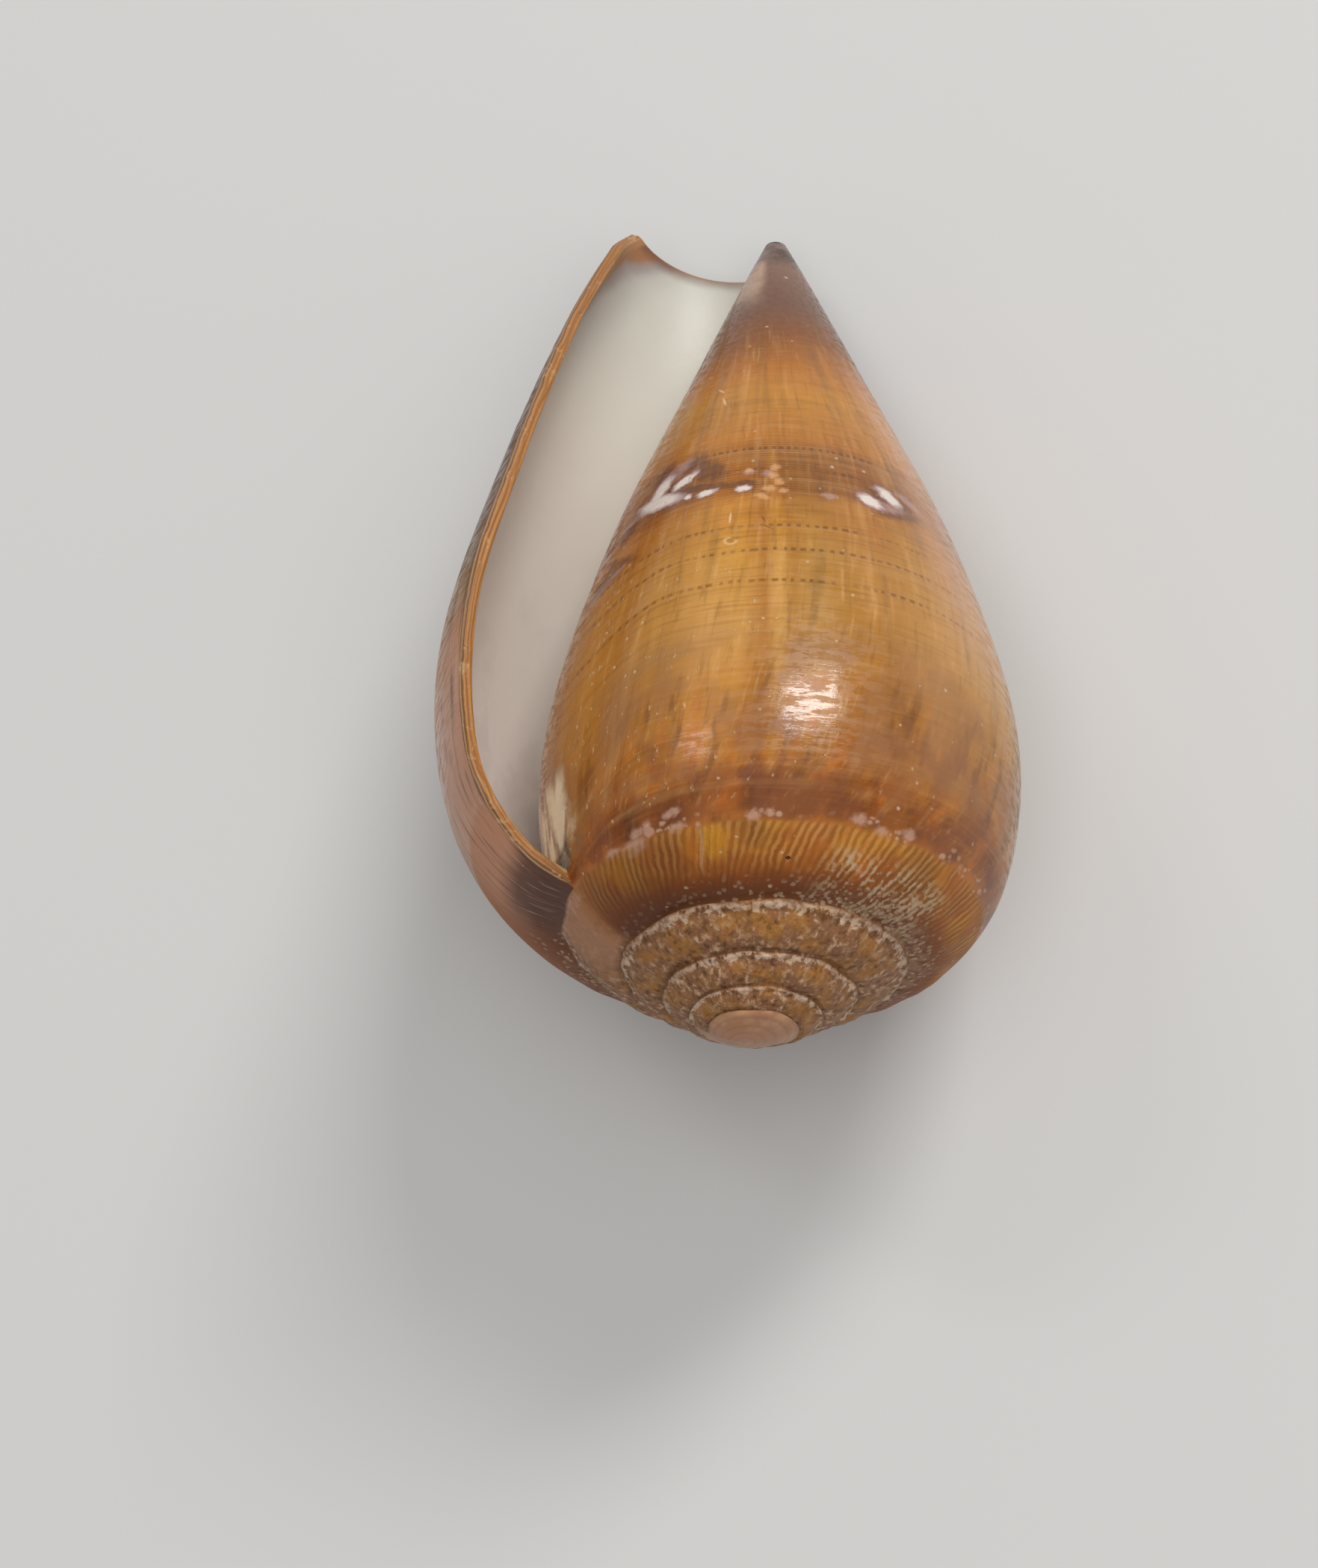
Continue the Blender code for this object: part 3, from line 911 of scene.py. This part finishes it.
# The ramp: radial growth lines, golden by the shoulder and dark by the suture.
radial = (back * 150.0 + row * 1.3 + patchy * 0.9 + cloud * 1.6 + fine * 0.25).wave()
ribbed = ramp_mask * back.ease(0.08, 0.2) * back.ease(1.02, 0.97)
uneven = narrow.ease(0.36, 0.6) * 0.8 + 0.2
ribs = radial.ease(0.1, 0.9) * ribbed * row.ease(0.1, 0.6) * uneven
furrow = (1 - radial.ease(0.0, 0.7)) * ribbed * row.ease(0.2, 0.8) * uneven
golden = ribbed * row.ease(0.8, 1.4)
colour = coat(colour, "b3721a", golden * cloud.ease(0.44, 0.6) * 0.75)
colour = coat(colour, "7a4a1c", golden * slow.ease(0.5, 0.34) * 0.6)
colour = coat(colour, "c99a55", golden * ribs * 0.34)
colour = coat(colour, "5a3512", furrow * 0.32)
crumbs = clouds(spot, 0.5, 3, 0.62, 13.0)
grit = clouds(spot, 0.34, 2, 0.5, 32.0)
kernels, chance, _ = cells(spot, 0.42)
grain = (kernels + grit).ease(0.92, 0.8) * (chance - row * 0.45).ease(0.0, 0.2) * row.ease(1.3, 0.2)
colour = coat(colour, "b49a7c", grain * back.band(0.1, 0.98, 0.05) * back.ease(0.95, 0.7, 0.35, 0.75))
frost = (cloud * 0.6 + grit * 0.7 + radial * 0.1).ease(0.66, 0.8)
frost = frost * back.band(0.65, 0.735, 0.04) * row.band(0.2, 1.3, 0.4)
colour = coat(colour, "baa282", frost * 0.75)
crumbly = row.ease(0.9, 0.2) * back.ease(0.78, 0.68)
colour = coat(colour, "aa8a66", ribbed * crumbly * crumbs.ease(0.4, 0.6) * 0.5)
colour = coat(colour, "4c2208", ribbed * back.ease(0.81, 0.92) * row.ease(2.2, 1.0, 0.25, 0.5))
pitted = flecks(PIT, torn).ease(1.6, 0.8)
colour = coat(colour, "2e1609", pitted * ramp_mask * 0.9)
burnt = flecks(BURNT, torn).ease(1.8, 0.4)
colour = coat(colour, "b5641a", burnt * ramp_mask * 0.5)
amber = flecks(AMBER, torn).ease(1.6, 0.5)
colour = coat(colour, "c98a1c", amber * ramp_mask * 0.6)
wavy = combine(around + (patchy - 0.5) * 0.6, along)
scar = flecks(HEALED, wavy).ease(1.5, 0.6)
colour = coat(colour, "cfa272", scar * ramp_mask * 0.4)

# The spire: ground down to crumbs, with a pale thread along each suture and painted shade in the groove
# beside it.
radii = clouds(combine(back * 60.0, row * 1.3), 0.5, 3, 0.6, 21.0)
mixed = crumbs * 0.58 + radii * 0.42
colour = coat(colour, "895c3a", spire)
colour = coat(colour, "a06a28", spire * patchy.ease(0.46, 0.6) * 0.75)
colour = coat(colour, "c6a07c", mixed.ease(0.49, 0.62) * spire * (patchy.ease(0.6, 0.4) * 0.75 + 0.3))
colour = coat(colour, "452b18", mixed.ease(0.48, 0.37) * spire * 0.7)
# Painted shade in the groove just past each suture.
colour = coat(colour, "4a3020", spire * (row + (crumbs - 0.5) * 0.6).ease(0.35, 0.0) * 0.5)
thread = spire * (row + (crumbs - 0.5) * 1.2).band(1.78, 2.05, 0.1)
colour = coat(colour, "cdb49c", thread * mixed.ease(0.42, 0.54) * (slow.ease(0.35, 0.6) * 0.5 + 0.25))
smooth_root = old * back.ease(1.12, 1.04) * row.band(0.3, 1.8, 0.3)
colour = coat(colour, "ad7a59", smooth_root * 0.8)
rings = (row * 5.0 + patchy * 0.8).wave()
colour = coat(colour, "a97654", dome)
colour = coat(colour, "c2966c", dome * patchy.ease(0.42, 0.62) * 0.6)
colour = coat(colour, "7c5236", dome * rings.ease(0.6, 1.0) * 0.22)

# By the opening: fresh pinkish shell along the lip, a bare callus at its root, partly painted light
# and shade, painted shade in the corner there, and glaze over the whorl before.
fresh = back.ease(0.11, 0.045)
threads = clouds(combine(around, row * 0.22), 0.2, 2, 0.6, 23.0)
colour = coat(colour, "c68c6b", fresh * row.band(1.0, 3.7, 0.5) * 0.9)
colour = coat(colour, "59392a", fresh * row.band(-1.0, 0.9, 0.5) * 0.9)
colour = coat(colour, "5a3518", fresh * row.ease(3.7, 4.7) * 0.85)
colour = coat(colour, "3a241b", fresh * threads.ease(0.48, 0.34) * 0.55)
colour = coat(colour, "cfab98", fresh * threads.ease(0.56, 0.72) * row.ease(5.0, 4.0) * 0.5)
inner = back.ease(0.975, 0.99) * row.band(2.5, 8.0, 0.15)
bare = back - field("ABSOLUTE", row - 3.35) * 0.03 + (crumbs - 0.5) * 0.015
callus = bare.ease(0.968, 0.99) * row.band(2.95, 3.75, 0.15)
cream_and_fold_light = clouds(combine(around, along * 0.25), 0.9, 2, 0.5, 33.0)
# The callus: cream and brown of its own, laid in streaks that are partly painted light and shade of
# folds the surface doesn't have.
colour = coat(colour, "a57c55", callus)
colour = coat(colour, "f4dfb8", callus * (cream_and_fold_light + fine * 0.1).ease(0.44, 0.64))
colour = coat(colour, "b9ab9c", inner * back.ease(1.04, 1.07))
# Painted shade: a dark patch in the corner where the lip's root meets the whorl before.
root_corner_shade = back.band(0.992, 1.024, 0.008) * row.band(2.9, 3.25, 0.12)
colour = coat(colour, "3c2a18", root_corner_shade * crumbs.ease(0.3, 0.5) * 0.85)

# Pale specks and pits, all over, and worn flakes by the opening.
colour = coat(colour, "dcc09a", specks * (1 - old) * 0.55)
scratched = clouds(combine(around, along * 0.45), 0.3, 3, 0.65, 27.0).ease(0.57, 0.64)
flakes = scratched * (clouds(side, 1.8, 2, 0.6, 26.0) + back).ease(1.42, 1.52)
flakes = flakes * row.band(2.5, 4.6, 0.4) * back.ease(0.985, 0.97)
colour = coat(colour, "dab98a", flakes * 0.5)

# Small scars: three scratches, a crack, and a broken ring.
colour = coat(colour, "e2bd90", flecks(SCRATCHES, side).ease(1.4, 0.6) * 0.7)
colour = coat(colour, "4e3216", flecks(CRACK, side).ease(1.5, 0.6) * 0.6)
ring = flecks(RING, side)
broken = flecks(RING_GAP, side).ease(0.7, 1.4)
colour = coat(colour, "7a5428", ring.ease(1.0, 0.4) * 0.3)
colour = coat(colour, "dfb98c", ring.band(0.8, 1.15, 0.25) * broken * 0.5)

# Its surface: polished in flakes on the side, and dull and grainy on the spire,
# with less of a shine on the fresh shell by the lip. Heights are millimetres.
flaked = clouds(combine(around * 0.35, along), 0.4, 3, 0.65, 22.0)
polished = row.ease(2.3, 3.2) * (1 - dome)
roughness = 0.36 + flaked.ease(0.46, 0.56, -0.21, 0.06) * polished + ramp_mask * 0.25 + specks * 0.2
height = striae * polished * fading * 0.006 + narrow * 0.012 + flaked * 0.008
height = height * (1 - ramp_mask) * (1 - dome)
height = height + ribs * 0.035 + fine * (0.017 - polished * 0.01 + ramp_mask * 0.012)
height = height + mixed * spire * (1 - dome) * 0.2
height = height - specks * 0.05 - dashes * 0.01 + shoulder_dots * 0.03 + flakes * 0.03
height = height - pitted * ramp_mask * 0.15
gloss = 0.45 - fresh * row.ease(2.8, 3.8) * 0.4
tree.links.new(gloss.socket, surface.inputs["Specular IOR Level"])
finish_surface(tree, surface, colour, roughness, height)

# The lip's broken edge: thin honey layers, worn and chipped. Here back is the
# share of the way over the edge, from the outside.
tree, surface = new_finish("layered lip")
back, row, *_, spot = growth_fields(tree)
fine, pits = grain_and_pits(spot)
wander = clouds(spot, 1.8, 2, 0.5, 14.0)
layer = back + (wander - 0.5) * 0.25
LAYERS = (
    (0.0, "5c3a22"),
    (0.16, "a27f5c"),
    (0.26, "6d4424"),
    (0.36, "b07c46"),
    (0.5, "8d5726"),
    (0.6, "b27a3e"),
    (0.78, "a96c2e"),
    (0.88, "cba06a"),
    (1.0, "b48a5e"),
)
colour = layer.ramp([(share, hue(code)) for share, code in LAYERS])
colour = coat(colour, "95612f", row.ease(5.5, 7.2) * 0.5)
colour = coat(colour, "5e3a1e", row.ease(1.2, 0.2) * 0.4)
colour = coat(colour, "d0b084", (fine * 0.5 + wander * 0.5).ease(0.55, 0.65) * 0.4)
colour = coat(colour, "d2b388", pits * 0.5)
roughness = 0.42 + fine * 0.15
height = (layer * 4.0).wave() * 0.02 + fine * 0.05 - pits * 0.08
finish_surface(tree, surface, colour, roughness, height)

# The lining: smooth white glaze, with a thin honey border at the lip, wider by
# the notch.
tree, surface = new_finish("white glaze")
back, row, *_, spot = growth_fields(tree)
fine, pits = grain_and_pits(spot)
mottle = clouds(spot, 3.5, 3, 0.55, 18.0)
WHITES = ((0.0, "f0ded2"), (0.35, "faeae0"), (0.55, "efe2d7"), (0.8, "cbc6b9"), (1.0, "b3b0a3"))
colour = (row * 0.125).ramp([(share, hue(code)) for share, code in WHITES])
colour = coat(colour, "b39f97", mottle.ease(0.48, 0.66) * row.ease(6, 3.5) * 0.2)
colour = coat(colour, "9f9490", back.ease(0.07, 0.02) * row.ease(5.0, 7.0) * 0.6)
corner = (back + mottle * 0.02) + row.ease(5.8, 7.8) * -0.035
colour = coat(colour, "8c7a74", corner.ease(0.025, 0.005) * row.ease(5.0, 6.5) * 0.8)
colour = coat(colour, "9a6028", corner.ease(0.008, -0.004) * row.ease(5.0, 6.5) * 0.9)
colour = coat(colour, "6d4630", (row + mottle * 0.35).ease(7.78, 8.15) * back.ease(0.25, 0.03) * 0.85)
colour = coat(colour, "a8743f", (back + mottle * 0.008).ease(0.014, 0.008))
roughness = 0.4 + mottle * 0.1 + pits * 0.1
finish_surface(tree, surface, colour, roughness, mottle * 0.05 + fine * 0.006)


# The floor: a plain pale sheet that the shell lies on.
bpy.ops.mesh.primitive_plane_add(size=4)
floor = bpy.context.object
floor.name = "floor"
material = bpy.data.materials.new("pale sheet")
material.use_nodes = True
surface = material.node_tree.nodes["Principled BSDF"]
surface.inputs["Base Color"].default_value = (0.62, 0.61, 0.59, 1)
surface.inputs["Roughness"].default_value = 0.7
floor.data.materials.append(material)


# The studio: an even pale room, a small softbox behind the shell that makes
# its highlight, a weaker one to the side, and a wide one by the camera that
# only fills the shade, so that it leaves no reflection. They face the shell's
# middle, SHELL_MIDDLE above the floor, from LAMP_DISTANCE away, in metres.
SHELL_MIDDLE = 0.017
LAMP_DISTANCE = 1.2


def softbox(name, towards, size, power, reflected=True):
    """A soft lamp in this direction from the shell, facing it."""
    lamp = bpy.data.objects.new(name, bpy.data.lights.new(name, "AREA"))
    lamp.data.shape = "RECTANGLE"
    lamp.data.size, lamp.data.size_y = size
    lamp.data.energy = power
    middle = Vector((0, 0, SHELL_MIDDLE))
    back = Vector(towards).normalized()
    side = Vector((0, 1, 0)).cross(back).normalized()
    turned = Matrix((side, back.cross(side), back)).transposed().to_4x4()
    lamp.matrix_world = Matrix.Translation(middle + back * LAMP_DISTANCE) @ turned
    lamp.visible_glossy = reflected
    bpy.context.scene.collection.objects.link(lamp)


world = bpy.data.worlds.new("pale room")
world.use_nodes = True
room = world.node_tree.nodes["Background"]
room.inputs["Color"].default_value = (0.96, 0.97, 1, 1)
room.inputs["Strength"].default_value = 0.3
bpy.context.scene.world = world
softbox("main softbox", (0.461, 0.616, 0.638), (0.46, 0.25), 7.5)
softbox("side softbox", (-0.364, 0.494, 0.79), (0.36, 0.16), 0.9)
softbox("front softbox", (0.25, -0.1, 0.96), (1.0, 1.0), 7.1, reflected=False)

# The camera looks down on the shell, a little from its peak's side.
camera = bpy.data.objects.new("camera", bpy.data.cameras.new("camera"))
camera.data.lens = 72.577
camera.data.sensor_width = 36
camera.data.clip_start = 0.01
camera.location = place + Vector((37.418, -20.312, 176.872)) * MM
camera.rotation_euler = [math.radians(angle) for angle in (10.871, 13.805, -2.31)]
bpy.context.scene.collection.objects.link(camera)
bpy.context.scene.camera = camera
bpy.context.scene.view_settings.view_transform = "Standard"
